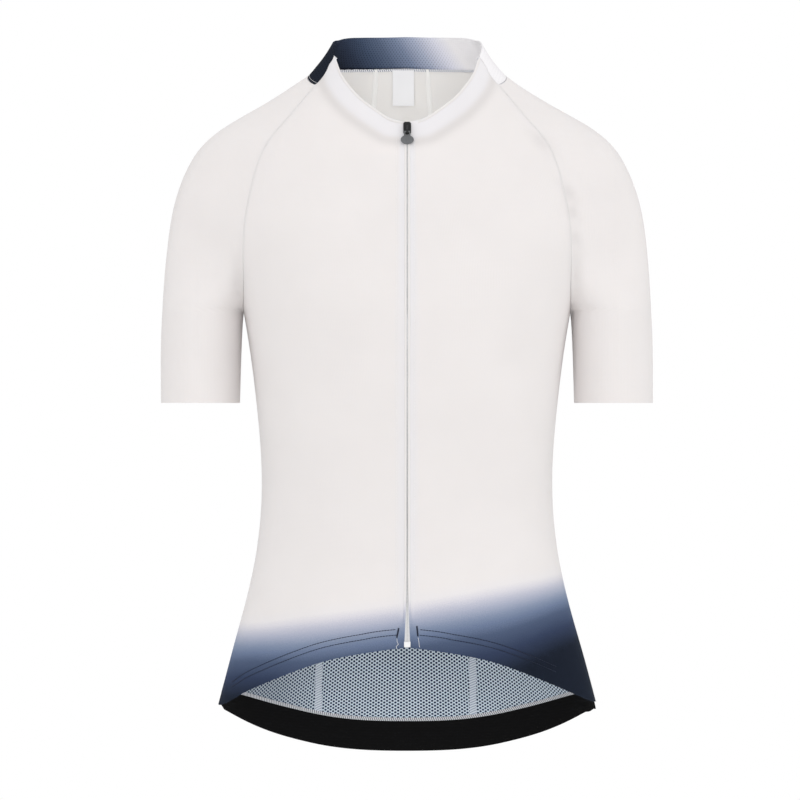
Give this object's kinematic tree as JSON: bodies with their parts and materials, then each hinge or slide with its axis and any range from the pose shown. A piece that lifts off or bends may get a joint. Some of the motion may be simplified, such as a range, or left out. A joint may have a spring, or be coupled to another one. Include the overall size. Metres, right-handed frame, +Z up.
{
  "type": "cycling jersey",
  "caption": "Short-sleeved raglan cycling jersey, filled out as if worn, with a full-length zip, a raised back collar, flat back pockets and an elastic back hem.",
  "frame": {"origin": "middle of the neck, at the height where the shoulders meet the collar", "axes": "+X to the viewer's right, -Y to the front, +Z up along the wearer's body"},
  "size_m": [0.4636, 0.22, 0.6896],
  "materials": {
    "white_knit": "matte fine knit, white",
    "mesh_knit": "matte open knit, pale blue-grey",
    "hem_elastic": "matte woven elastic, black",
    "pocket_knit": "matte fine knit, navy",
    "collar_knit": "matte knit, navy fading to white",
    "label_satin": "satin, white, blank",
    "zip_tape_cloth": "woven tape, white",
    "zip_teeth": "matte grey",
    "zip_box": "smooth white",
    "zip_slider_paint": "satin black",
    "pull_tab_paint": "satin grey"
  },
  "bodies": {
    "jersey": {"front_panel_right": "white_knit", "front_panel_left": "white_knit", "sleeve_right": "white_knit", "sleeve_left": "white_knit", "back_side_right": "white_knit", "back_centre": "white_knit", "back_side_left": "white_knit", "back_mesh": "mesh_knit", "hem_band": "hem_elastic", "pocket_right": "pocket_knit", "pocket_centre": "pocket_knit", "pocket_left": "pocket_knit", "collar_back": "collar_knit", "neck_label": "label_satin", "zip_tape": "zip_tape_cloth", "zip_chain": "zip_teeth", "zip_end_box": "zip_box", "zip_slider": "zip_slider_paint"},
    "pull_tab": {"zip_pull_tab": "pull_tab_paint"}
  },
  "joints": [
    {"name": "pull_tab_swing", "type": "hinge", "parent": "jersey", "child": "pull_tab", "pos_m": [0, -0.07743, -0.0503], "axis": [-1, 0, 0], "range_deg": [0, 140]}
  ]
}
